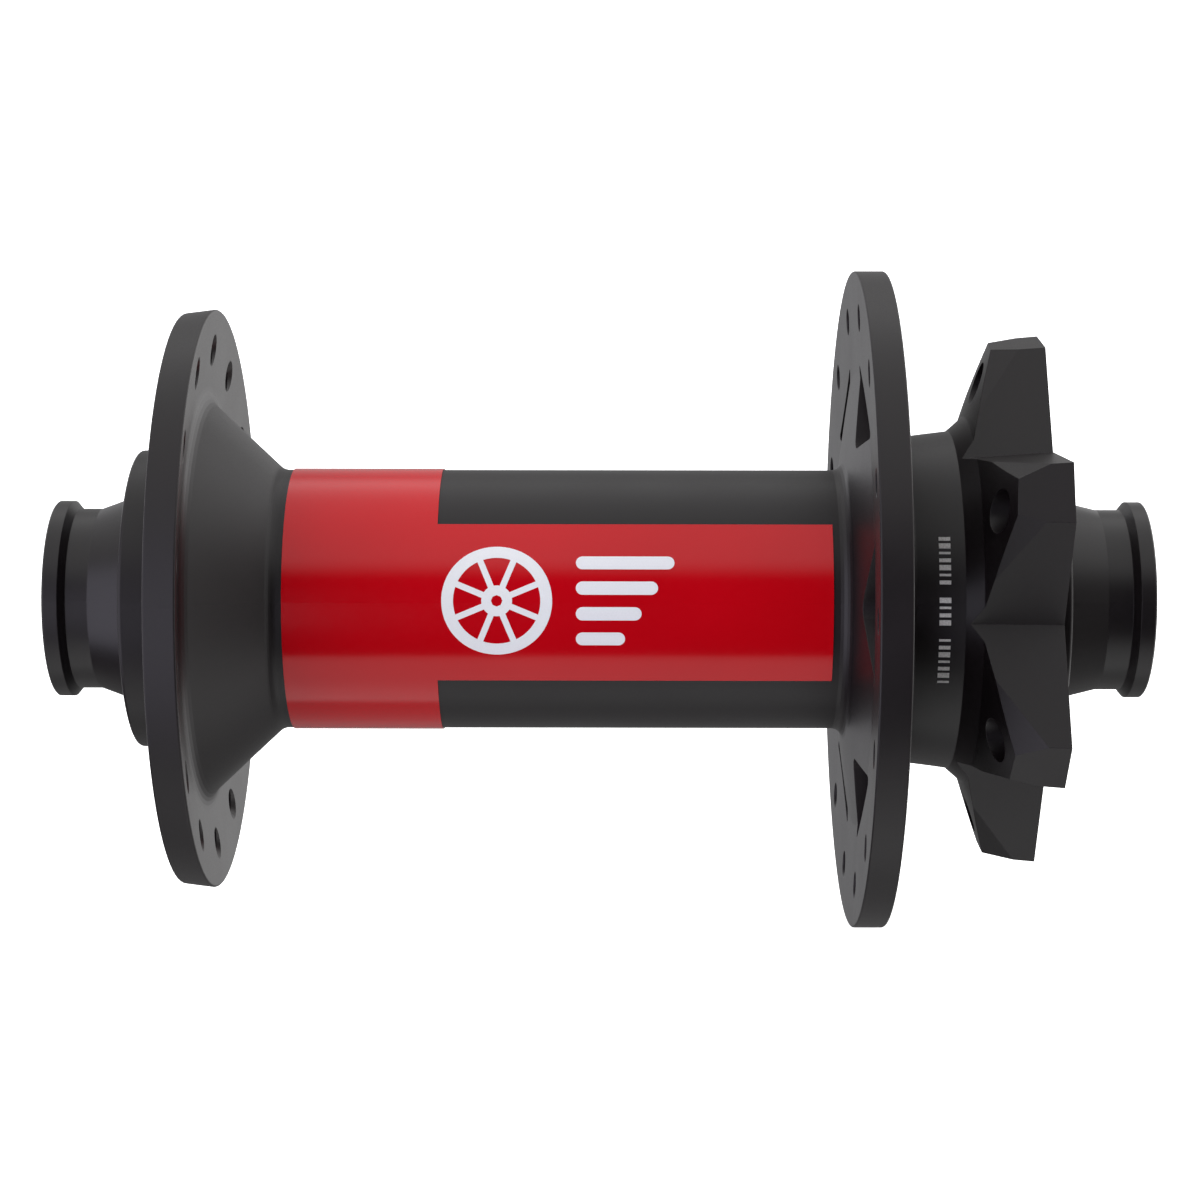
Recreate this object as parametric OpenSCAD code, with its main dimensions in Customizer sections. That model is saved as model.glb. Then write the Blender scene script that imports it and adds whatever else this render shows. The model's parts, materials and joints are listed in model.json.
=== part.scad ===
// Front wheel hub with a six-bolt rotor mount, two sealed cartridge bearings and push-on end caps.
// The wheel axis is Y, the rotor mount is on the +Y side, and the origin is midway between the end faces.
// Every piece is drawn along Z and laid along Y by along_y(), which turns Z onto Y.
// An angle called bearing is measured from +X towards +Z, as seen along the wheel axis.

/* [Axle and end caps] */
// Distance between the two end faces that the fork clamps
hub_width = 110; // [108:0.5:114]
// Diameter of the bore for the through axle
axle_bore_d = 15.1; // [14.6:0.1:15.4]
// Diameter of the middle of the axle tube, between the two bearings
axle_middle_d = 19.2; // [18.2:0.1:20.2]
// Diameter of the lip that sits in the fork end
cap_lip_d = 19.9; // [19:0.1:20.5]
// Width of that lip
cap_lip_w = 1.55; // [1:0.05:2]
// Diameter of the neck behind the lip
cap_neck_d = 18.3; // [17.8:0.1:18.4]
// Depth inside each end face at which the axle tube stops
cap_floor = 5.5; // [5:0.1:6]

/* [Shell] */
// Outer diameter of the middle tube
tube_d = 26.3; // [26:0.1:27.5]
// Bore of the shell between the bearing seats
tube_bore_d = 23.4; // [22:0.1:23.8]
// Diameter of the nose at either end
nose_d = 30.2; // [29.6:0.1:31]
// Distance from the middle to the end of the nose outside the plain flange
nose_end = 46.6; // [46.4:0.1:47]

/* [Plain flange] */
// Rim diameter of the flange on the side without a rotor, at its inner face
plain_flange_d = 58.75; // [56:0.05:62]
// How much smaller the rim's radius is at the outer face
plain_rim_taper = 0.4; // [0:0.05:0.6]
// Distance from the middle to its outer face
plain_flange_at = 41.8; // [41.4:0.1:42.4]
// Thickness of its rim
plain_flange_w = 3.2; // [2.8:0.1:3.6]
// Pitch circle of its spoke holes
plain_spoke_pcd = 50; // [48:0.5:52]
// Bearing of its first spoke hole, in degrees
plain_spoke_phase = 10.8; // [0:0.1:25]

/* [Rotor side flange] */
// Rim diameter of the flange on the rotor side
disc_flange_d = 66.5; // [65:0.1:70]
// Distance from the middle to its outer face
disc_flange_at = 28.6; // [28.3:0.1:28.9]
// Thickness of its rim
disc_flange_w = 3.1; // [2.8:0.1:3.4]
// Pitch circle of its spoke holes
disc_spoke_pcd = 58; // [57:0.5:59]
// Bearing of its first spoke hole, in degrees
disc_spoke_phase = 23.6; // [0:0.1:25]
// Number of windows in this flange
window_count = 6; // [3:1:6]
// Bearing of the first window, in degrees
window_phase = -1; // [-10:0.5:10]
// Distance from the axis to the sharp apex of a window, before rounding
window_apex = 17.5; // [17:0.1:18.5]
// Distance from the axis to the long outer side of a window
window_side = 23.4; // [22:0.1:24]
// Length of that side, before its corners are rounded
window_w = 15.2; // [12:0.1:16]

/* [Spoke holes] */
// Spoke holes in each flange
spoke_count = 14; // [8:1:16]
// Diameter of a spoke hole
spoke_hole_d = 2.6; // [2.2:0.1:3]

/* [Rotor mount] */
// Bolt circle of the rotor
rotor_pcd = 44; // [43.5:0.5:44.5]
// Rotor bolts, one to an arm
rotor_bolts = 6; // [6]
// Drilled diameter of a bolt hole
rotor_hole_d = 4.2; // [4:0.1:4.4]
// Distance from the middle to the face that the rotor sits on
rotor_face = 44.5; // [44.2:0.1:44.8]
// Bearing of the first arm, in degrees
rotor_phase = 24.2; // [0:0.1:60]
// Distance from the axis to the far corner of an arm's tip at the rotor face
arm_far_r = 26.8; // [26.4:0.1:27.2]
// Distance from the axis to the near corner of that tip
arm_near_r = 25.9; // [25.6:0.1:26.3]
// Angle that the tip covers, in degrees
arm_tip_angle = 12.6; // [12:0.1:13.5]
// Distance from the axis to the bottom of the valley between two arms at the rotor face
valley_r = 18.25; // [18.2:0.05:18.8]
// Draft of an arm's tip and flanks, in degrees
arm_draft = 4.3; // [3.5:0.1:5]
// Height of the nose over the rotor face
rotor_nose_h = 1.4; // [1:0.1:1.6]

/* [Bearings] */
// Bore of a cartridge bearing
bearing_bore_d = 17; // [17]
// Outer diameter of a cartridge bearing
bearing_d = 28; // [28]
// Width of a cartridge bearing
bearing_w = 7; // [7]
// Diameter of a ball
ball_d = 3.175; // [2.8:0.025:3.2]
// Balls in a bearing
ball_count = 13; // [9:1:14]

/* [Label] */
// Where the wrap starts, measured along the axis from the middle
label_start = -30.9; // [-31:0.1:-28]
// Where the full ring of the wrap stops
label_ring_end = -15.8; // [-24:0.1:0]
// Where the tongue of the wrap stops
label_end = 22.9; // [10:0.1:23]
// Angle that the tongue covers, in degrees
label_tongue_angle = 70.6; // [40:0.1:120]

/* [Hidden] */
$fn = 96;

black = [0.13, 0.13, 0.135];
red = [0.72, 0.06, 0.08];
alloy = [0.72, 0.73, 0.75];
steel = [0.62, 0.63, 0.65];
rubber = [0.07, 0.07, 0.08];
nylon = [0.45, 0.33, 0.2];

cut = 1;             // how far a cutting shape runs past what it cuts
touch = 0.01;        // gap left where two pieces lie on each other
edge = 0.35;         // rounding of the nose edge
rim_edge = 0.2;      // rounding of the flange rims
lead_in = 0.3;       // chamfer at the mouth of a bore
corner_steps = 5;    // flats along one rounded corner

half_width = hub_width / 2;
seat_r = bearing_d / 2;
journal_r = bearing_bore_d / 2;
tube_r = tube_d / 2;

// Bearing middles, measured along the axis
nose_recess = 0.4;   // how far the bearings sit inside the ends of the shell
rotor_bearing_at = rotor_face + rotor_nose_h - nose_recess - bearing_w / 2;
plain_bearing_at = -(nose_end - nose_recess - bearing_w / 2);

// Plain flange: its inner face is dished and a cone carries it to the tube
plain_dish = 0.141;  // axial fall per radial millimetre
plain_cone_root = -32.1;
plain_cone_top_r = 20.4;
plain_inner_face = -(plain_flange_at - plain_flange_w);
plain_root_fillet = 2.2;
plain_cone_fillet = 1.5;
nose_fillet = 0.8;

// Rotor side flange: a nearly flat web meets a slightly dished ring in a shallow trough
disc_inner_face = disc_flange_at - disc_flange_w;
web_root = 24.63;
trough_r = 23;
trough_at = 25.98;
web_fillet = 1.2;
trough_fillet = 1.5;
window_apex_round = 1.6;
window_round = 0.35;

// Collar between the rotor side flange and the rotor mount
collar_root_r = 16.3;
collar_fillet = 1.8;
collar_top_r = 17.15;
collar_top = 35.26;
collar_taper = (collar_top_r - collar_root_r) / (collar_top - disc_flange_at);
flare_r = 18.6;
flare_at = 36.9;
flare_slope = (flare_at - collar_top) / (flare_r - collar_top_r);
arm_back_r = 26.15;
arm_back_at = 39.35; // how far along the back of an arm is at arm_back_r
arm_back_slope = (arm_back_at - flare_at) / (arm_back_r - flare_r);
core_at = 37.5;       // where the collar's taper stops, inside the rotor mount
core_r = collar_root_r + collar_taper * (core_at - disc_flange_at);
star_bore_r = seat_r + 0.5;

// Tip and valley of an arm at the rotor face, each as [radius, angle from the arm's middle]
valley_angle = 180 / rotor_bolts;
far_corner = [arm_far_r, -arm_tip_angle / 2];
near_corner = [arm_near_r, arm_tip_angle / 2];
valley = [valley_r, valley_angle];

// Bevels between the back and the flanks of an arm, each through three points [radius, angle, along]
far_bevel = [[26.7, -6.3, 42.6], [20.7, -18, 37.5], [26.1, -2.6, 38.85]];
near_bevel = [[25.7, 6, 41.7], [25.6, 3.9, 38.8], [19.2, 23.2, 37.2]];
block = 60;          // size of a cutting shape that only has to be large

// Bearing section
pitch_r = (seat_r + journal_r) / 2;
race_r = ball_d / 2 + 0.0325;
shoulder_gap = 0.9;  // from the pitch circle to the shoulder of a ring
seal_seat_r = pitch_r + 1.5;
seal_seat_w = 0.9;
seal_w = 0.6;
seal_recess = 0.15;
seal_lip_gap = 0.07;
ring_chamfer = 0.3;
cage_w = 1;
cage_back = 2.35;
cage_front = 0.7;
pocket_gap = 0.05;

// O-ring in the bore of an end cap
o_ring_w = 0.62;
groove_depth = 0.65;
groove_w = 0.9;
groove_at = 7.3;     // depth of the groove's middle inside the end face

// End cap: a neck and a cone lead from the lip to the bearing
lip_slope = 0.65;
neck_end_rotor = 50.4;
neck_end_plain = 50.6;
cap_land_r = 10.1;   // land that bears on the inner ring
cap_land_w = 0.5;
cap_flare_rotor = 0.25;
cap_flare_plain = 0.371;
lip_chamfer = 0.15;

label_t = 0.12;

function unit(v) = v / norm(v);
function turned(v, angle) = [v.x * cos(angle) - v.y * sin(angle), v.x * sin(angle) + v.y * cos(angle)];
function flat(p) = [p.x, p.y];
function polar(p) = p.x * [cos(p.y), sin(p.y)];

// The arc that rounds corner p, between its neighbours a and b, to a radius
function corner(a, p, b, radius) =
    let (
        to_a = unit(a - p),
        to_b = unit(b - p),
        half_angle = acos(to_a * to_b) / 2,
        centre = p + unit(to_a + to_b) * radius / sin(half_angle),
        start = p + to_a * radius / tan(half_angle) - centre,
        finish = p + to_b * radius / tan(half_angle) - centre,
        sweep = sign(cross(start, finish)) * (180 - 2 * half_angle)
    )
    [for (i = [0:corner_steps]) centre + turned(start, sweep * i / corner_steps)];

// Outline through points [x, y, rounding]; a rounding of 0 keeps the corner sharp
function rounded(path) =
    [for (i = [0:len(path) - 1])
        let (
            before = flat(path[(i + len(path) - 1) % len(path)]),
            here = flat(path[i]),
            after = flat(path[(i + 1) % len(path)])
        )
        each path[i].z > 0 ? corner(before, here, after, path[i].z) : [here]];

module along_y() {
    rotate([-90, 0, 0]) children();
}

// Turns children, drawn on the X axis, to a bearing once they are laid along Y
module at_bearing(angle) {
    rotate([0, 0, -angle]) children();
}

// Solid of revolution through points [radius, place along the axis, rounding]
module turned_part(path) {
    rotate_extrude() polygon(rounded(path));
}

module shell_body() {
    turned_part([
        [seat_r + lead_in, -nose_end, 0],
        [nose_d / 2, -nose_end, edge],
        [nose_d / 2, -plain_flange_at, nose_fillet],
        [plain_flange_d / 2 - plain_rim_taper, -plain_flange_at, rim_edge],
        [plain_flange_d / 2, plain_inner_face, rim_edge],
        [plain_cone_top_r, plain_inner_face - plain_dish * (plain_flange_d / 2 - plain_cone_top_r),
            plain_root_fillet],
        [tube_r, plain_cone_root, plain_cone_fillet],
        [tube_r, web_root, web_fillet],
        [trough_r, trough_at, trough_fillet],
        [disc_flange_d / 2, disc_inner_face, rim_edge],
        [disc_flange_d / 2, disc_flange_at, rim_edge],
        [collar_root_r, disc_flange_at, collar_fillet],
        [core_r, core_at, 0],
        [core_r, rotor_face - cut, 0],
        [nose_d / 2, rotor_face - cut, 0],
        [nose_d / 2, rotor_face + rotor_nose_h, edge],
        [seat_r + lead_in, rotor_face + rotor_nose_h, 0],
        [seat_r, rotor_face + rotor_nose_h - lead_in, 0],
        [seat_r, rotor_bearing_at - bearing_w / 2, 0],
        [tube_bore_d / 2, rotor_bearing_at - bearing_w / 2, 0],
        [tube_bore_d / 2, plain_bearing_at + bearing_w / 2, 0],
        [seat_r, plain_bearing_at + bearing_w / 2, 0],
        [seat_r, -nose_end + lead_in, 0]
    ]);
}

// Everything beyond the plane through three points [radius, angle, along]
module beyond_plane(corners) {
    spots = [for (c = corners) [c.x * cos(c.y), c.x * sin(c.y), c.z]];
    outward = unit(cross(spots[1] - spots[0], spots[2] - spots[0]));
    translate(spots[0])
        rotate([0, acos(outward.z), atan2(outward.y, outward.x)])
            translate([-block / 2, -block / 2, 0])
                cube(block);
}

// Everything beyond a drafted wall whose edge at the rotor face runs from a to b, round the axis
module beyond_wall(a, b) {
    translate([a.x, a.y, rotor_face])
        rotate([arm_draft, 0, atan2(b.y - a.y, b.x - a.x)])
            translate([-block / 2, -block, -block / 2])
                cube(block);
}

// Notch between the arm on the X axis and the next one round
module valley_notch() {
    intersection() {
        beyond_wall(polar(near_corner), polar(valley));
        beyond_wall(polar(valley), turned(polar(far_corner), 2 * valley_angle));
    }
}

// Wedge that bevels both arms beside that notch
module valley_bevel() {
    intersection() {
        beyond_plane(near_bevel);
        rotate([0, 0, 2 * valley_angle]) beyond_plane(far_bevel);
    }
}

module rotor_star() {
    difference() {
        turned_part([
            [star_bore_r, collar_top - cut, 0],
            [collar_top_r - cut / flare_slope, collar_top - cut, 0],
            [flare_r, flare_at, edge],
            [block / 2, flare_at + arm_back_slope * (block / 2 - flare_r), 0],
            [block / 2, rotor_face, 0],
            [star_bore_r, rotor_face, 0]
        ]);
        for (i = [0:rotor_bolts - 1]) {
            rotate([0, 0, 2 * valley_angle * i]) {
                beyond_wall(polar(far_corner), polar(near_corner));
                valley_notch();
                valley_bevel();
            }
        }
    }
}

module rotor_holes() {
    for (i = [0:rotor_bolts - 1]) {
        rotate([0, 0, 2 * valley_angle * i])
            translate([rotor_pcd / 2, 0, flare_at - cut]) {
                cylinder(d = rotor_hole_d, h = rotor_face - flare_at + 2 * cut);
                translate([0, 0, rotor_face - flare_at + cut - lead_in])
                    cylinder(d1 = rotor_hole_d, d2 = rotor_hole_d + 4 * lead_in, h = 2 * lead_in);
            }
    }
}

// A ring of spoke holes through a flange whose faces lie at from and to, eased at both mouths
module spoke_holes(pcd, phase, from, to) {
    hole_r = spoke_hole_d / 2;
    for (i = [0:spoke_count - 1]) {
        at_bearing(phase + 360 / spoke_count * i)
            translate([pcd / 2, 0, 0])
                turned_part([
                    [0, from - cut, 0],
                    [hole_r + lead_in + cut, from - cut, 0],
                    [hole_r, from + lead_in, 0],
                    [hole_r, to - lead_in, 0],
                    [hole_r + lead_in + cut, to + cut, 0],
                    [0, to + cut, 0]
                ]);
    }
}

module flange_windows() {
    for (i = [0:window_count - 1]) {
        at_bearing(window_phase + 360 / window_count * i)
            translate([0, 0, web_root])
                linear_extrude(disc_flange_at - web_root + cut)
                    polygon(rounded([
                        [window_apex, 0, window_apex_round],
                        [window_side, -window_w / 2, window_round],
                        [window_side, window_w / 2, window_round]
                    ]));
    }
}

module hub_shell() {
    color(black)
        along_y()
            difference() {
                union() {
                    shell_body();
                    at_bearing(rotor_phase) rotor_star();
                }
                at_bearing(rotor_phase) rotor_holes();
                flange_windows();
                spoke_holes(plain_spoke_pcd, plain_spoke_phase, -plain_flange_at,
                    plain_inner_face - plain_dish * (plain_flange_d - plain_spoke_pcd) / 2);
                spoke_holes(disc_spoke_pcd, disc_spoke_phase, disc_inner_face, disc_flange_at);
            }
}

// Ring with everything outside the tongue's angle cut back to label_ring_end
module label_wrap() {
    half_tongue = label_tongue_angle / 2;
    color(red)
        along_y()
            difference() {
                rotate_extrude()
                    translate([tube_r + touch, label_start])
                        square([label_t, label_end - label_start]);
                translate([0, 0, label_ring_end])
                    linear_extrude(label_end - label_ring_end + cut)
                        polygon([
                            [0, 0],
                            block * [cos(half_tongue), sin(half_tongue)],
                            block * [-1, 1],
                            block * [-1, -1],
                            block * [cos(half_tongue), -sin(half_tongue)]
                        ]);
            }
}

module axle_tube() {
    bore_r = axle_bore_d / 2;
    end = half_width - cap_floor;
    color(alloy)
        along_y()
            turned_part([
                [bore_r, -end, 0],
                [journal_r - lead_in, -end, 0],
                [journal_r, -end + lead_in, 0],
                [journal_r, plain_bearing_at + bearing_w / 2, 0],
                [axle_middle_d / 2, plain_bearing_at + bearing_w / 2, 0],
                [axle_middle_d / 2, rotor_bearing_at - bearing_w / 2, 0],
                [journal_r, rotor_bearing_at - bearing_w / 2, 0],
                [journal_r, end - lead_in, 0],
                [journal_r - lead_in, end, 0],
                [bore_r, end, 0]
            ]);
}

// Outboard half of the hub: an end cap that starts at the bearing face inner_end
module end_cap(inner_end, neck_end, flare) {
    bore_r = axle_bore_d / 2;
    lip_r = cap_lip_d / 2;
    neck_r = cap_neck_d / 2;
    lip_start = half_width - cap_lip_w;
    groove = half_width - groove_at;
    land_end = inner_end + cap_land_w;
    color(black)
        turned_part([
            [journal_r, inner_end, 0],
            [cap_land_r, inner_end, 0],
            [cap_land_r, land_end, 0],
            [neck_r + flare * (neck_end - land_end), land_end, 0],
            [neck_r, neck_end, edge],
            [neck_r, lip_start - lip_slope, 0],
            [lip_r, lip_start, 0],
            [lip_r, half_width - lip_chamfer, 0],
            [lip_r - lip_chamfer, half_width, 0],
            [bore_r + lead_in, half_width, 0],
            [bore_r, half_width - lead_in, 0],
            [bore_r, half_width - cap_floor, 0],
            [journal_r, half_width - cap_floor, 0],
            [journal_r, groove + groove_w / 2, 0],
            [journal_r + groove_depth, groove + groove_w / 2, 0],
            [journal_r + groove_depth, groove - groove_w / 2, 0],
            [journal_r, groove - groove_w / 2, 0]
        ]);
}

module end_cap_rotor_side() {
    along_y() end_cap(rotor_bearing_at + bearing_w / 2, neck_end_rotor, cap_flare_rotor);
}

module end_cap_plain_side() {
    along_y()
        mirror([0, 0, 1])
            end_cap(-plain_bearing_at + bearing_w / 2, neck_end_plain, cap_flare_plain);
}

module o_ring(at) {
    color(rubber)
        along_y()
            translate([0, 0, at])
                rotate_extrude()
                    translate([journal_r + touch + o_ring_w / 2, 0])
                        circle(d = o_ring_w, $fn = 32);
}

module o_ring_rotor_side() {
    o_ring(half_width - groove_at);
}

module o_ring_plain_side() {
    o_ring(groove_at - half_width);
}

module race() {
    rotate_extrude() translate([pitch_r, 0]) circle(r = race_r, $fn = 48);
}

// Steel ring on the shell side of a bearing, with a seat for a seal at each face
module outer_ring(at) {
    shoulder_r = pitch_r + shoulder_gap;
    half = bearing_w / 2;
    color(steel)
        along_y()
            translate([0, 0, at])
                difference() {
                    turned_part([
                        [seal_seat_r, -half, 0],
                        [seat_r - ring_chamfer, -half, 0],
                        [seat_r, -half + ring_chamfer, 0],
                        [seat_r, half - ring_chamfer, 0],
                        [seat_r - ring_chamfer, half, 0],
                        [seal_seat_r, half, 0],
                        [seal_seat_r, half - seal_seat_w, 0],
                        [shoulder_r, half - seal_seat_w, 0],
                        [shoulder_r, seal_seat_w - half, 0],
                        [seal_seat_r, seal_seat_w - half, 0]
                    ]);
                    race();
                }
}

// Steel ring on the axle side of a bearing
module inner_ring(at) {
    shoulder_r = pitch_r - shoulder_gap;
    half = bearing_w / 2;
    color(steel)
        along_y()
            translate([0, 0, at])
                difference() {
                    turned_part([
                        [journal_r + ring_chamfer, -half, 0],
                        [shoulder_r, -half, 0],
                        [shoulder_r, half, 0],
                        [journal_r + ring_chamfer, half, 0],
                        [journal_r, half - ring_chamfer, 0],
                        [journal_r, ring_chamfer - half, 0]
                    ]);
                    race();
                }
}

module ring_of_balls(diameter) {
    for (i = [0:ball_count - 1]) {
        rotate([0, 0, 360 / ball_count * i])
            translate([pitch_r, 0, 0])
                sphere(d = diameter, $fn = 48);
    }
}

module balls(at) {
    color(steel)
        along_y()
            translate([0, 0, at])
                ring_of_balls(ball_d);
}

// Crown cage: its pockets open towards the middle of the hub when side is 1
module cage(at, side) {
    color(nylon)
        along_y()
            translate([0, 0, at])
                mirror([0, 0, side > 0 ? 1 : 0])
                    difference() {
                        turned_part([
                            [pitch_r - cage_w / 2, -cage_back, 0],
                            [pitch_r + cage_w / 2, -cage_back, 0],
                            [pitch_r + cage_w / 2, cage_front, 0],
                            [pitch_r - cage_w / 2, cage_front, 0]
                        ]);
                        ring_of_balls(ball_d + 2 * pocket_gap);
                    }
}

// Rubber seal in the bearing face that looks along +Z when side is 1, and along -Z when it is -1
module seal(at, side) {
    lip_r = pitch_r - shoulder_gap + seal_lip_gap;
    face = bearing_w / 2 - seal_recess;
    crease_r = lip_r + 0.6;
    crease = 0.15;
    color(rubber)
        along_y()
            translate([0, 0, at])
                mirror([0, 0, side > 0 ? 0 : 1])
                    turned_part([
                        [lip_r, face - seal_w + crease, 0],
                        [crease_r, face - seal_w, 0],
                        [seal_seat_r, face - seal_w, 0],
                        [seal_seat_r, face, 0],
                        [crease_r, face, 0],
                        [lip_r, face - crease, 0]
                    ]);
}

module rotor_bearing_outer_ring() {
    outer_ring(rotor_bearing_at);
}

module rotor_bearing_inner_ring() {
    inner_ring(rotor_bearing_at);
}

module rotor_bearing_balls() {
    balls(rotor_bearing_at);
}

module rotor_bearing_cage() {
    cage(rotor_bearing_at, 1);
}

module rotor_bearing_outer_seal() {
    seal(rotor_bearing_at, 1);
}

module rotor_bearing_inner_seal() {
    seal(rotor_bearing_at, -1);
}

module plain_bearing_outer_ring() {
    outer_ring(plain_bearing_at);
}

module plain_bearing_inner_ring() {
    inner_ring(plain_bearing_at);
}

module plain_bearing_balls() {
    balls(plain_bearing_at);
}

module plain_bearing_cage() {
    cage(plain_bearing_at, -1);
}

module plain_bearing_outer_seal() {
    seal(plain_bearing_at, -1);
}

module plain_bearing_inner_seal() {
    seal(plain_bearing_at, 1);
}

hub_shell();
label_wrap();
axle_tube();
end_cap_rotor_side();
end_cap_plain_side();
o_ring_rotor_side();
o_ring_plain_side();
rotor_bearing_outer_ring();
rotor_bearing_inner_ring();
rotor_bearing_balls();
rotor_bearing_cage();
rotor_bearing_outer_seal();
rotor_bearing_inner_seal();
plain_bearing_outer_ring();
plain_bearing_inner_ring();
plain_bearing_balls();
plain_bearing_cage();
plain_bearing_outer_seal();
plain_bearing_inner_seal();
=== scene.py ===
"""Looks of a bicycle front hub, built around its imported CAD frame.

The wheel axis is Y, +Y is the rotor side, and the camera looks at the hub from +X.
"""

import json
import math

import bmesh
import bpy
from mathutils import Matrix, Vector
from mathutils.bvhtree import BVHTree


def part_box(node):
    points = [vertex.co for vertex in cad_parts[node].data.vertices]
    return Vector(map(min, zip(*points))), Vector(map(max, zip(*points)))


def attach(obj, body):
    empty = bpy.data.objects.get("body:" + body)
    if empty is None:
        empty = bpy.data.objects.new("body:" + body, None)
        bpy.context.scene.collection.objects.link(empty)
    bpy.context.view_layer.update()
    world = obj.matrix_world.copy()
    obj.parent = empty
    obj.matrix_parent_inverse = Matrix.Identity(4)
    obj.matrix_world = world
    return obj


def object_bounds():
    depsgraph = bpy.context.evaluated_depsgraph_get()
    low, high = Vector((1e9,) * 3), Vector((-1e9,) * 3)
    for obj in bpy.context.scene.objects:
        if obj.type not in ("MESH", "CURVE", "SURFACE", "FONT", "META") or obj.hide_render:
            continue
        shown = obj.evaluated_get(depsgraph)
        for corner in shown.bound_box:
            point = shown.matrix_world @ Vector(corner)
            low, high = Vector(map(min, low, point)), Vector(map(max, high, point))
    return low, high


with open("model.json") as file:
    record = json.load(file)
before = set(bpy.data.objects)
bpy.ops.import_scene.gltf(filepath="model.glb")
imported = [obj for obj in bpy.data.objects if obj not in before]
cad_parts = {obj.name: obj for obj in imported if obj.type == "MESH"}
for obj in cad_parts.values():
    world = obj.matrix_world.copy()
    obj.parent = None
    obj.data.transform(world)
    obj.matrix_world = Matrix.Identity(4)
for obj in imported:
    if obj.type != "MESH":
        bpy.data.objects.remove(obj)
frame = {"nodes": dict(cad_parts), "record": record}
cad_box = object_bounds()

MM = 0.001
MOUNTS = {mount["name"]: mount for mount in frame["record"]["mounts"]}

# Camera: places in metres, lens and sensor in millimetres, shift as a share of the frame, roll in radians
CAMERA_PLACE = Vector((0.28101, 0.001645, 0.009153))
CAMERA_LENS = 82.64
CAMERA_SENSOR = 36
CAMERA_SHIFT = (0.00066, -0.0009)
CAMERA_ROLL = 0.0013
CAMERA_NEAREST = 0.01
CAMERA_FURTHEST = 20

# Stage, in metres
STAGE_WIDTH = 6.0
STAGE_BACK = 1.6
STAGE_FRONT = 3.0
STAGE_BEND = 0.6
STAGE_HEIGHT = 4.0
STAGE_BEND_STEPS = 24
STAGE_COLOUR = (0.9, 0.9, 0.9, 1)
STAGE_GLOW_COLOUR = (1, 1, 1, 1)
STAGE_GLOW = 1.0
STAGE_ROUGHNESS = 0.9

# Light, as soft round panels in the sky: azimuth and elevation of the middle in degrees, half-angle of the
# fully lit part, half-angle at which it has faded out, and strength in red, green and blue
PANELS = {
    "overhead": (0, 78, 40, 60, (1.25, 1.25, 1.25)),
    "table": (0, -75, 23, 28, (1.15, 1.15, 1.15)),
    "table_behind": (180, -62, 20, 46, (0.35, 0.35, 0.35)),
    "left": (-50, -8, 36, 43, (1.85, 1.80, 2.10)),
    "right": (98, 4, 34, 58, (1.70, 1.68, 1.68)),
    "behind": (180, 25, 25, 60, (0.45, 0.45, 0.45)),
    "left_behind": (-128, 8, 22, 38, (1.10, 1.10, 1.15)),
    "right_behind": (142, 8, 16, 34, (0.90, 0.90, 0.90)),
}
FILL_LIGHT = (0.01, 0.01, 0.01)

# Edges: the radius over which they look rounded, how much paler they are painted (a painted highlight for
# light caught on the rounded edge), and the cosine between the rounded and the true surface at which the
# painted edge highlight is full, and at which there is no edge
EDGE_SOFTNESS = 0.09 * MM
EDGE_HIGHLIGHT_PAINT = 0.55
EDGE_FULL_HIGHLIGHT = 0.90
EDGE_NONE = 0.995

# Sockets of a Mix node that hold its two colours and give its result
MIX_COLOURS = (6, 7)
MIX_RESULT = 2

# Label artwork: a wheel and four bars, measured along the axis and around the tube
LABEL_INK_HEIGHT = 0.03 * MM
INK_SINK = 0.01 * MM
WHEEL_AT = -9.9 * MM
WHEEL_RADIUS = 5.4 * MM
WHEEL_RIM = 1.15 * MM
WHEEL_HUB = 1.5 * MM
WHEEL_HOLE = 0.55 * MM
WHEEL_SPOKES = 8
WHEEL_SPOKE_WIDTH = 0.6 * MM
WHEEL_SPOKE_LIMIT = 0.45        # the widest that half a spoke may grow, as a share of its sector
WHEEL_HUB_STEPS = 2
WHEEL_SPOKE_STEPS = 7
WHEEL_RIM_STEPS = 3
WHEEL_GAP_STEPS = 7
RING_TOLERANCE = 0.001 * MM
BAR_START = -2.2 * MM
BAR_LENGTH = 9.6 * MM
BAR_SHORTER = 1.6 * MM
BAR_WIDTH = 1.3 * MM
BAR_PITCH = 2.5 * MM
BAR_COUNT = 4
BAR_END_STEPS = 14
ART_RISE = math.radians(1)

# Laser marks on the collar behind the rotor mount
TICK_AT = 33.3 * MM
TICK_LENGTH = 1.1 * MM
TICK_HEIGHT = 0.012 * MM
TICK_HALF_WIDTHS = (0.12 * MM, 0.26 * MM, 0.19 * MM)
TICK_STEPS = 3
TICK_GROUPS = (7, 4, 7)
TICK_PITCH = 0.72 * MM
TICK_GROUP_GAP = 1.0 * MM
TICK_MIDDLE = math.radians(-2.1)

# Bearings, in radians either side of +X, over which the radius of a surface is felt for
SEARCH_SPREAD = 0.5
SEARCH_STEPS = 40

# Threads in the rotor bolt holes, the first of which lies at this bearing
ROTOR_PHASE = math.radians(24.2)
THREAD_PITCH = 0.8 * MM
THREAD_DEPTH = 0.13 * MM
THREAD_START = 38.7 * MM
THREAD_LEAD = 0.35 * MM
THREAD_STEPS = 20
THREAD_ROOT = 0.42        # half the width of the ridge where it leaves the wall, as a share of the pitch
THREAD_CREST = 0.15       # width of the crest, as a share of the width at the wall


def steps(start, end, count):
    """Evenly spaced numbers from start to end, both included."""
    return [start + (end - start) * i / count for i in range(count + 1)]


def mesh_object(name, bm, material):
    """An object in the scene from a bmesh, with its material."""
    mesh = bpy.data.meshes.new(name)
    bm.to_mesh(mesh)
    bm.free()
    mesh.materials.append(material)
    made = bpy.data.objects.new(name, mesh)
    bpy.context.scene.collection.objects.link(made)
    return made


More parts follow.
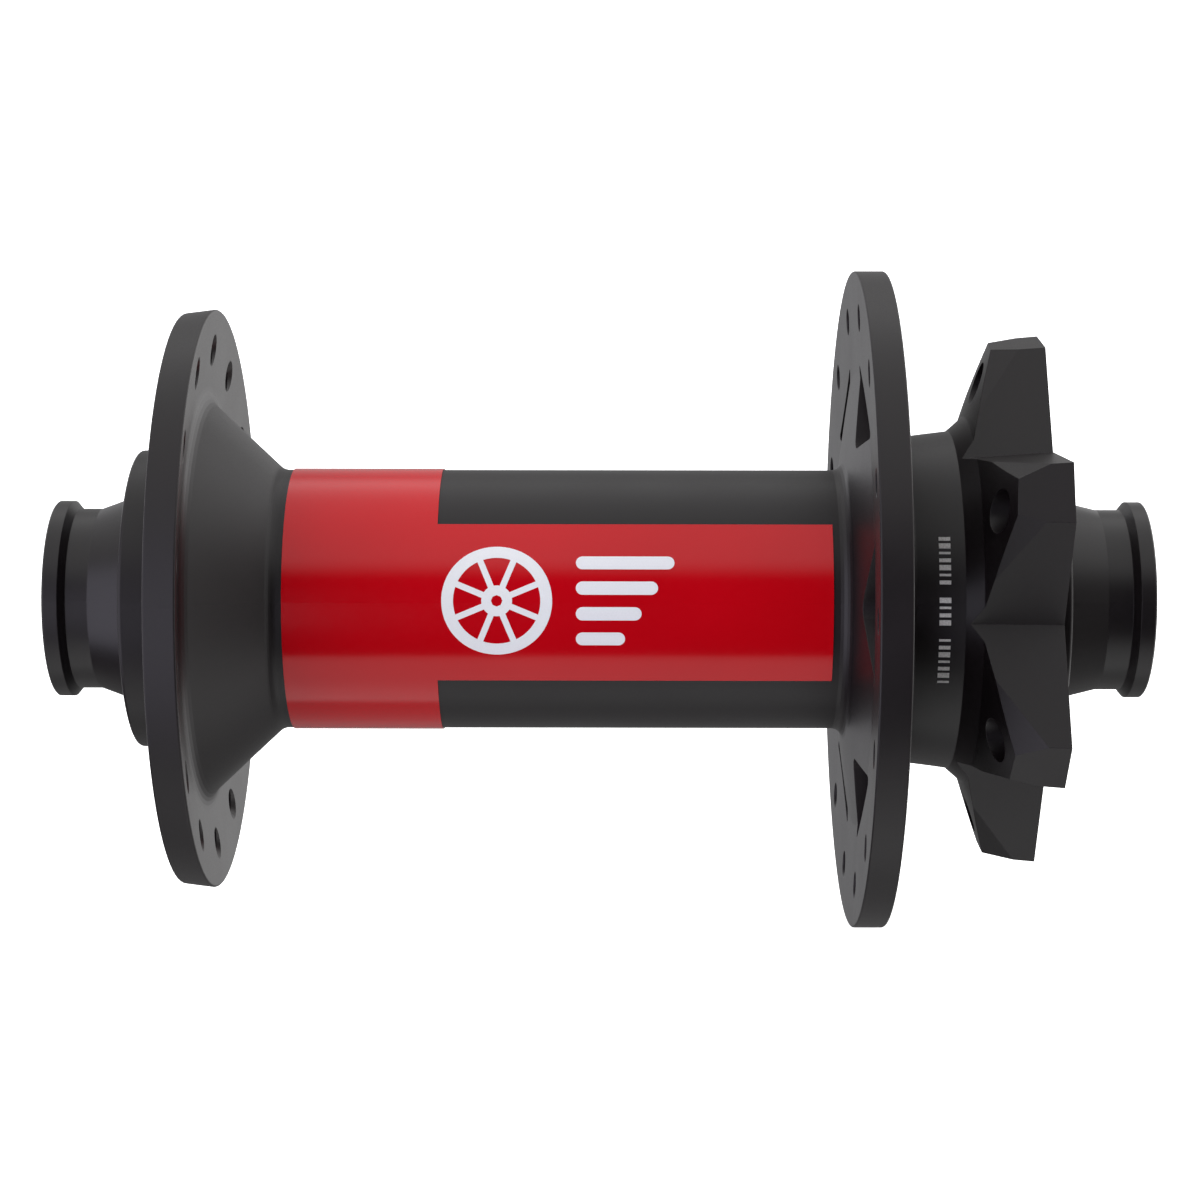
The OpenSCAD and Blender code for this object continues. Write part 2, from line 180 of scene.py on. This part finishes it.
def hub_piece(name, bm, material, body):
    """A finished closed piece of the hub, which rides on a body."""
    bmesh.ops.recalc_face_normals(bm, faces=bm.faces)
    piece = mesh_object(name, bm, material)
    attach(piece, body)


# ---------------------------------------------------------------- materials

class Nodes:
    """Short calls for building one material's nodes."""

    def __init__(self, name):
        self.material = bpy.data.materials.new(name)
        self.material.use_nodes = True
        self.tree = self.material.node_tree
        self.shader = self.tree.nodes["Principled BSDF"]

    def node(self, kind, inputs=None, **settings):
        """A new node, with each of its inputs set to a value or joined to another node's output."""
        made = self.tree.nodes.new("ShaderNode" + kind)
        for key, value in settings.items():
            setattr(made, key, value)
        for key, value in (inputs or {}).items():
            if isinstance(value, bpy.types.NodeSocket):
                self.tree.links.new(value, made.inputs[key])
            else:
                made.inputs[key].default_value = value
        return made

    def math(self, operation, *values):
        return self.node("Math", dict(enumerate(values)), operation=operation).outputs[0]

    def link(self, value, key):
        """Joins a node's output to an input of the material's shader."""
        self.tree.links.new(value, self.shader.inputs[key])

    def noise(self, vector, size, detail=2.0, roughness=0.5):
        """Cloudy noise whose patches are about this size in metres."""
        inputs = {"Vector": vector, "Scale": 1 / size, "Detail": detail, "Roughness": roughness}
        return self.node("TexNoise", inputs).outputs["Fac"]

    def between(self, value, low, high, start=0.35, end=0.65):
        """Noise spread out to run from low to high; start and end are the part of its range that it fills."""
        inputs = {"Value": value, "From Min": start, "From Max": end, "To Min": low, "To Max": high}
        return self.node("MapRange", inputs).outputs["Result"]

    def around(self, value, middle, spread):
        """Noise spread out to run the same amount either way of a middle."""
        return self.between(value, middle - spread, middle + spread)

    def blend(self, factor, *colours):
        """A mix from one colour to another, each three numbers or another node's output."""
        mixed = self.node("Mix", {"Factor": factor}, data_type="RGBA")
        for index, colour in zip(MIX_COLOURS, colours):
            if isinstance(colour, bpy.types.NodeSocket):
                self.tree.links.new(colour, mixed.inputs[index])
            else:
                mixed.inputs[index].default_value = (*colour, 1)
        return mixed.outputs[MIX_RESULT]

    def place(self):
        """The place of a point on the object, in metres."""
        return self.node("TexCoord").outputs["Object"]

    def turned_place(self, place):
        """A place that is the same all the way round the wheel axis: radius, and distance along the axis."""
        split = self.node("SeparateXYZ", {"Vector": place})
        x, y, z = split.outputs
        radius_squared = self.math("ADD", self.math("MULTIPLY", x, x), self.math("MULTIPLY", z, z))
        radius = self.math("SQRT", radius_squared)
        return self.node("CombineXYZ", {"X": radius, "Y": y}).outputs["Vector"]

    def bump(self, height, distance, normal=None):
        """A relief of this depth in metres, on top of another relief if one is given."""
        inputs = {"Height": height, "Distance": distance}
        if normal is not None:
            inputs["Normal"] = normal
        return self.node("Bump", inputs).outputs["Normal"]

    def soft_edges(self, radius):
        return self.node("Bevel", {"Radius": radius}, samples=6).outputs["Normal"]

    def edge_mask(self, soft_normal):
        """0 on open faces, rising to 1 along edges."""
        true_normal = self.node("NewGeometry").outputs["Normal"]
        together = self.node("VectorMath", {0: soft_normal, 1: true_normal}, operation="DOT_PRODUCT")
        return self.between(together.outputs["Value"], 1.0, 0.0, start=EDGE_FULL_HIGHLIGHT, end=EDGE_NONE)


def anodised(name, colour, edge_highlight_colour, roughness, specular):
    """Dyed satin anodising on turned and milled alloy: blasted grain, faint turning marks, edges painted
    paler as a painted highlight.
    """
    m = Nodes(name)
    place = m.place()
    turned = m.turned_place(place)
    grain = m.noise(place, size=0.11 * MM, detail=3.0, roughness=0.6)
    clouds = m.noise(place, size=9 * MM, detail=3.0)
    marks = m.noise(turned, size=0.16 * MM, roughness=0.7)
    soft = m.soft_edges(EDGE_SOFTNESS)
    edges = m.edge_mask(soft)
    deep_colour = tuple(channel * 0.75 for channel in colour)
    body = m.blend(m.between(clouds, 0, 1), deep_colour, colour)
    # painted highlight: the base colour turns paler along edges, standing in for light caught on their
    # rounded rims
    m.link(m.blend(m.math("MULTIPLY", edges, EDGE_HIGHLIGHT_PAINT), body, edge_highlight_colour), "Base Color")
    grain_roughness = m.around(grain, roughness, spread=0.035)
    cloud_roughness = m.around(clouds, 0, spread=0.015)
    m.link(m.math("ADD", grain_roughness, cloud_roughness), "Roughness")
    m.shader.inputs["Specular IOR Level"].default_value = specular
    grain_relief = m.bump(grain, distance=0.0012 * MM, normal=soft)
    m.link(m.bump(marks, distance=0.0018 * MM, normal=grain_relief), "Normal")
    return m.material


def vinyl(name, colour, deep_colour):
    """Printed gloss film: deep even red, a trace of orange peel, and a glossy surface."""
    m = Nodes(name)
    place = m.place()
    clouds = m.noise(place, size=14 * MM)
    m.link(m.blend(m.between(clouds, 0, 1), deep_colour, colour), "Base Color")
    dust = m.noise(place, size=0.5 * MM, detail=4.0, roughness=0.6)
    m.link(m.between(dust, low=0.13, high=0.18), "Roughness")
    m.shader.inputs["Specular IOR Level"].default_value = 0.34
    peel = m.noise(place, size=1.4 * MM, detail=1.0)
    m.link(m.bump(peel, distance=0.002 * MM), "Normal")
    return m.material


def ink(name, colour, thin_colour, roughness):
    """Printed or laser-burnt marking: an even coat whose cover varies slightly from dot to dot."""
    m = Nodes(name)
    dots = m.noise(m.place(), size=0.12 * MM)
    m.link(m.blend(m.between(dots, 0, 1), thin_colour, colour), "Base Color")
    m.link(m.around(dots, roughness, spread=0.05), "Roughness")
    m.shader.inputs["Specular IOR Level"].default_value = 0.3
    m.link(m.bump(dots, distance=0.003 * MM), "Normal")
    return m.material


def turned_metal(name, colour, dull_colour, roughness, mark_size, mark_depth):
    """Bare metal with lathe or grinding marks that run round the axis."""
    m = Nodes(name)
    place = m.place()
    turned = m.turned_place(place)
    marks = m.noise(turned, mark_size, detail=3.0, roughness=0.7)
    stain = m.noise(place, size=5 * MM, detail=3.0)
    m.link(m.blend(m.between(stain, 0, 1), dull_colour, colour), "Base Color")
    m.link(m.between(marks, low=roughness - 0.06, high=roughness + 0.08), "Roughness")
    m.shader.inputs["Metallic"].default_value = 1.0
    m.shader.inputs["Anisotropic"].default_value = 0.4
    m.link(m.bump(marks, mark_depth, m.soft_edges(EDGE_SOFTNESS)), "Normal")
    return m.material


def moulded(name, colour, dull_colour, roughness, grain_size, grain_depth):
    """Moulded rubber or nylon: matt, with a fine moulded grain and a little bloom."""
    m = Nodes(name)
    place = m.place()
    grain = m.noise(place, grain_size, detail=3.0, roughness=0.6)
    bloom = m.noise(place, size=3 * MM, detail=3.0)
    m.link(m.blend(m.between(bloom, 0, 1), dull_colour, colour), "Base Color")
    m.link(m.around(grain, roughness, spread=0.08), "Roughness")
    m.shader.inputs["Specular IOR Level"].default_value = 0.35
    m.link(m.bump(grain, grain_depth, m.soft_edges(EDGE_SOFTNESS)), "Normal")
    return m.material


MATERIALS = {
    "anodised_black": anodised(
        "anodised_black",
        colour=(0.0058, 0.0034, 0.0043),
        # the edge colour is a painted highlight for light caught on the rounded edges
        edge_highlight_colour=(0.012, 0.011, 0.011),
        roughness=0.43,
        specular=0.36,
    ),
    "anodised_black_cap": anodised(
        "anodised_black_cap",
        colour=(0.0058, 0.0036, 0.0044),
        # the edge colour is a painted highlight for light caught on the rounded edges
        edge_highlight_colour=(0.014, 0.013, 0.013),
        roughness=0.38,
        specular=0.40,
    ),
    "label_red": vinyl("label_red", colour=(0.56, 0.001, 0.007), deep_colour=(0.53, 0.001, 0.006)),
    "label_ink": ink("label_ink", colour=(0.90, 0.92, 0.93), thin_colour=(0.87, 0.89, 0.90), roughness=0.4),
    "laser_mark": ink("laser_mark", colour=(0.66, 0.65, 0.64), thin_colour=(0.48, 0.47, 0.46), roughness=0.6),
    "bare_alloy": turned_metal(
        "bare_alloy",
        colour=(0.78, 0.78, 0.79),
        dull_colour=(0.66, 0.66, 0.67),
        roughness=0.30,
        mark_size=0.14 * MM,
        mark_depth=0.003 * MM,
    ),
    "bearing_steel": turned_metal(
        "bearing_steel",
        colour=(0.62, 0.62, 0.63),
        dull_colour=(0.52, 0.52, 0.54),
        roughness=0.20,
        mark_size=0.07 * MM,
        mark_depth=0.001 * MM,
    ),
    "ball_steel": turned_metal(
        "ball_steel",
        colour=(0.70, 0.70, 0.71),
        dull_colour=(0.66, 0.66, 0.67),
        roughness=0.10,
        mark_size=0.05 * MM,
        mark_depth=0.0003 * MM,
    ),
    "cage_nylon": moulded(
        "cage_nylon",
        colour=(0.46, 0.33, 0.17),
        dull_colour=(0.40, 0.28, 0.14),
        roughness=0.5,
        grain_size=0.2 * MM,
        grain_depth=0.004 * MM,
    ),
    "seal_rubber": moulded(
        "seal_rubber",
        colour=(0.016, 0.016, 0.017),
        dull_colour=(0.024, 0.024, 0.025),
        roughness=0.55,
        grain_size=0.12 * MM,
        grain_depth=0.004 * MM,
    ),
    "rubber_ring": moulded(
        "rubber_ring",
        colour=(0.012, 0.012, 0.012),
        dull_colour=(0.020, 0.020, 0.020),
        roughness=0.45,
        grain_size=0.15 * MM,
        grain_depth=0.003 * MM,
    ),
}


def finish_cad_nodes():
    """Gives every CAD node the material of its slot."""
    for node in frame["nodes"].values():
        slots = node.data.materials
        for index, old in enumerate(slots):
            slots[index] = MATERIALS[old.name]


# ---------------------------------------------------------------- markings

def lift(bm, height):
    """Turns the surface in bm, which lies round the wheel axis, into a closed skin of that height."""
    result = bmesh.ops.extrude_face_region(bm, geom=list(bm.faces), use_keep_orig=True)
    for item in result["geom"]:
        if isinstance(item, bmesh.types.BMVert):
            radial = Vector((item.co.x, 0, item.co.z))
            item.co += radial.normalized() * height


def wrapped(along, around, radius, middle):
    """The point on a cylinder at a place along the axis and a distance around it from its middle bearing."""
    angle = middle + around / radius
    return Vector((radius * math.cos(angle), along, radius * math.sin(angle)))


def add_grid(bm, rows, filled=lambda i, j: True, closed=False):
    """Faces between rows of points; filled(i, j) says which cells exist. Closed rows join their ends."""
    verts = [[None] * len(row) for row in rows]
    columns = len(rows[0]) if closed else len(rows[0]) - 1

    def vert(i, j):
        if verts[i][j] is None:
            verts[i][j] = bm.verts.new(rows[i][j])
        return verts[i][j]

    for i in range(len(rows) - 1):
        for j in range(columns):
            if filled(i, j):
                k = (j + 1) % len(rows[0])
                bm.faces.new((vert(i, j), vert(i + 1, j), vert(i + 1, k), vert(i, k)))


def wheel_ring(ring, radius):
    """The points of one ring of the wheel on a cylinder: spoke by spoke, then across each gap."""
    sector = 2 * math.pi / WHEEL_SPOKES
    half = min(math.asin(WHEEL_SPOKE_WIDTH / 2 / ring), sector * WHEEL_SPOKE_LIMIT)
    row = []
    for spoke in range(WHEEL_SPOKES):
        turn = sector * (spoke + 0.5)
        gap = steps(turn + half, turn + sector - half, WHEEL_GAP_STEPS)[:-1]
        for angle in [turn - half] + gap:
            along = WHEEL_AT + ring * math.cos(angle)
            row.append(wrapped(along, ring * math.sin(angle), radius, ART_RISE))
    return row


def wheel_mark(bm, radius):
    """A wheel: rim, straight spokes and a hub with a hole."""
    rim_inside = WHEEL_RADIUS - WHEEL_RIM
    rings = steps(WHEEL_HOLE, WHEEL_HUB, WHEEL_HUB_STEPS)
    rings += steps(WHEEL_HUB, rim_inside, WHEEL_SPOKE_STEPS)[1:]
    rings += steps(rim_inside, WHEEL_RADIUS, WHEEL_RIM_STEPS)[1:]

    def filled(i, j):
        among_spokes = WHEEL_HUB <= rings[i] < rim_inside - RING_TOLERANCE
        return not among_spokes or j % (WHEEL_GAP_STEPS + 1) == 0

    add_grid(bm, [wheel_ring(ring, radius) for ring in rings], filled, closed=True)


def bar_mark(bm, radius, start, length, middle):
    """A bar with round ends."""
    half = BAR_WIDTH / 2
    rows = []
    for turn in steps(0, math.pi, BAR_END_STEPS):
        across = -half * math.cos(turn)
        bulge = half * math.sin(turn)
        rows.append([
            wrapped(start + half - bulge, middle + across, radius, ART_RISE),
            wrapped(start + length - half + bulge, middle + across, radius, ART_RISE),
        ])
    add_grid(bm, rows)


def label_artwork():
    """The white mark on the wrap: a wheel with four speed lines."""
    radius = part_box("label_wrap")[1].x - INK_SINK
    bm = bmesh.new()
    wheel_mark(bm, radius)
    for bar in range(BAR_COUNT):
        middle = BAR_PITCH * ((BAR_COUNT - 1) / 2 - bar)
        bar_mark(bm, radius, BAR_START, BAR_LENGTH - BAR_SHORTER * bar, middle)
    lift(bm, LABEL_INK_HEIGHT + INK_SINK)
    hub_piece("label_artwork", bm, MATERIALS["label_ink"], "shell")


def surface_radius(node, along):
    """The outer radius of a CAD node on the camera's side, at a place along the axis."""
    bm = bmesh.new()
    bm.from_mesh(frame["nodes"][node].data)
    tree = BVHTree.FromBMesh(bm)
    bm.free()
    hits = []
    for bearing in steps(-SEARCH_SPREAD, SEARCH_SPREAD, SEARCH_STEPS):
        outward = Vector((math.cos(bearing), 0, math.sin(bearing)))
        hits.append(tree.ray_cast(outward + Vector((0, along, 0)), -outward)[0])
    return max(math.hypot(hit.x, hit.z) for hit in hits)


def laser_ticks():
    """A row of fine marks round the collar, in three groups."""
    tick_ends = (TICK_AT - TICK_LENGTH / 2, TICK_AT + TICK_LENGTH / 2)
    ends = [(along, surface_radius("hub_shell", along)) for along in tick_ends]
    count = sum(TICK_GROUPS)
    span = TICK_PITCH * (count - 1) + TICK_GROUP_GAP * (len(TICK_GROUPS) - 1)
    bm = bmesh.new()
    at = -span / 2
    index = 0
    for group in TICK_GROUPS:
        for _ in range(group):
            half = TICK_HALF_WIDTHS[index % len(TICK_HALF_WIDTHS)]
            add_grid(bm, [
                [wrapped(along, at + side, radius, TICK_MIDDLE) for along, radius in ends]
                for side in steps(-half, half, TICK_STEPS)
            ])
            at += TICK_PITCH
            index += 1
        at += TICK_GROUP_GAP
    lift(bm, TICK_HEIGHT)
    hub_piece("laser_ticks", bm, MATERIALS["laser_mark"], "shell")


# ---------------------------------------------------------------- threads

def thread(bm, middle, start, end, hole_radius):
    """A helical ridge with a triangular section on the wall of a hole along Y."""
    turns = (end - start) / THREAD_PITCH - 1
    count = round(turns * THREAD_STEPS)
    half = THREAD_PITCH * THREAD_ROOT
    root = hole_radius + THREAD_DEPTH / 2
    rows = []
    for i in range(count + 1):
        angle = 2 * math.pi * i / THREAD_STEPS
        along = start + THREAD_PITCH / 2 + THREAD_PITCH * i / THREAD_STEPS
        fade = min(1, i / THREAD_STEPS, (count - i) / THREAD_STEPS)
        crest = hole_radius - THREAD_DEPTH * fade
        section = [(root, -half), (crest, -half * THREAD_CREST), (crest, half * THREAD_CREST), (root, half)]
        rows.append([
            middle + Vector((reach * math.cos(angle), along + offset, reach * math.sin(angle)))
            for reach, offset in section
        ])
    verts = [[bm.verts.new(point) for point in row] for row in rows]
    for a, b in zip(verts, verts[1:]):
        for j in range(len(a)):
            k = (j + 1) % len(a)
            bm.faces.new((a[j], b[j], b[k], a[k]))
    bm.faces.new(verts[0])
    bm.faces.new(reversed(verts[-1]))


def rotor_threads():
    """Threads in the six rotor bolt holes."""
    bolts = MOUNTS["rotor_bolts"]
    hole_radius = bolts["dims"]["hole_r_mm"] * MM
    reach = bolts["dims"]["pcd_mm"] / 2 * MM
    end = bolts["pos_m"][1] - THREAD_LEAD
    count = bolts["dims"]["count"]
    bm = bmesh.new()
    for bolt in range(count):
        bearing = ROTOR_PHASE + 2 * math.pi * bolt / count
        middle = Vector((reach * math.cos(bearing), 0, reach * math.sin(bearing)))
        thread(bm, middle, THREAD_START, end, hole_radius)
    hub_piece("rotor_threads", bm, MATERIALS["anodised_black"], "shell")


# ---------------------------------------------------------------- light, floor and camera

def towards(azimuth, elevation):
    """The direction of a place in the sky, from its azimuth and elevation in degrees."""
    across = math.cos(math.radians(elevation))
    return (
        across * math.cos(math.radians(azimuth)),
        across * math.sin(math.radians(azimuth)),
        math.sin(math.radians(elevation)),
    )


def soft_light():
    """The sky: soft round panels of light over a faint fill."""
    world = bpy.data.worlds.new("studio")
    bpy.context.scene.world = world
    world.use_nodes = True
    tree = world.node_tree
    direction = tree.nodes.new("ShaderNodeTexCoord").outputs["Generated"]

    def vector_node(operation, first, second):
        made = tree.nodes.new("ShaderNodeVectorMath")
        made.operation = operation
        tree.links.new(first, made.inputs[0])
        if isinstance(second, bpy.types.NodeSocket):
            tree.links.new(second, made.inputs[1])
        else:
            made.inputs[1].default_value = second
        return made

    total = None
    for azimuth, elevation, lit, faded, strength in PANELS.values():
        facing = vector_node("DOT_PRODUCT", direction, towards(azimuth, elevation)).outputs["Value"]
        panel = tree.nodes.new("ShaderNodeMapRange")
        panel.interpolation_type = "SMOOTHSTEP"
        tree.links.new(facing, panel.inputs["Value"])
        panel.inputs["From Min"].default_value = math.cos(math.radians(faded))
        panel.inputs["From Max"].default_value = math.cos(math.radians(lit))
        light = vector_node("MULTIPLY", panel.outputs["Result"], strength).outputs["Vector"]
        total = light if total is None else vector_node("ADD", total, light).outputs["Vector"]
    filled = vector_node("ADD", total, FILL_LIGHT).outputs["Vector"]
    background = tree.nodes["Background"]
    tree.links.new(filled, background.inputs["Color"])
    background.inputs["Strength"].default_value = 1.0


def sweep_profile():
    """The sweep from the side, as points of X and Z: the floor, the bend and the backdrop."""
    floor_at = cad_box[0].z
    bend_from = -STAGE_BACK + STAGE_BEND
    profile = [(STAGE_FRONT, floor_at), (bend_from, floor_at)]
    for turn in steps(0, math.pi / 2, STAGE_BEND_STEPS)[1:]:
        back = bend_from - STAGE_BEND * math.sin(turn)
        up = floor_at + STAGE_BEND - STAGE_BEND * math.cos(turn)
        profile.append((back, up))
    profile.append((-STAGE_BACK, floor_at + STAGE_HEIGHT))
    return profile


def sweep():
    """A pale floor that curves up behind the hub into a backdrop; it is seen but lights nothing."""
    bm = bmesh.new()
    sides = (-STAGE_WIDTH / 2, STAGE_WIDTH / 2)
    add_grid(bm, [[Vector((x, side, z)) for side in sides] for x, z in sweep_profile()])
    m = Nodes("sweep_white")
    m.shader.inputs["Base Color"].default_value = STAGE_COLOUR
    m.shader.inputs["Roughness"].default_value = STAGE_ROUGHNESS
    m.shader.inputs["Emission Color"].default_value = STAGE_GLOW_COLOUR
    m.shader.inputs["Emission Strength"].default_value = STAGE_GLOW
    floor = mesh_object("sweep", bm, m.material)
    floor.visible_diffuse = False
    floor.visible_glossy = False
    floor.visible_shadow = False


def camera():
    """The camera, at the height and distance from which the hub's flanges show as they should."""
    data = bpy.data.cameras.new("camera")
    data.lens = CAMERA_LENS
    data.sensor_width = CAMERA_SENSOR
    data.shift_x, data.shift_y = CAMERA_SHIFT
    data.clip_start = CAMERA_NEAREST
    data.clip_end = CAMERA_FURTHEST
    eye = bpy.data.objects.new("camera", data)
    bpy.context.scene.collection.objects.link(eye)
    eye.location = CAMERA_PLACE
    level = (-CAMERA_PLACE).to_track_quat("-Z", "Y").to_matrix()
    eye.rotation_euler = (level @ Matrix.Rotation(CAMERA_ROLL, 3, "Z")).to_euler()
    bpy.context.scene.camera = eye


bpy.context.scene.view_settings.view_transform = "Standard"
camera()
soft_light()
sweep()
finish_cad_nodes()
label_artwork()
laser_ticks()
rotor_threads()
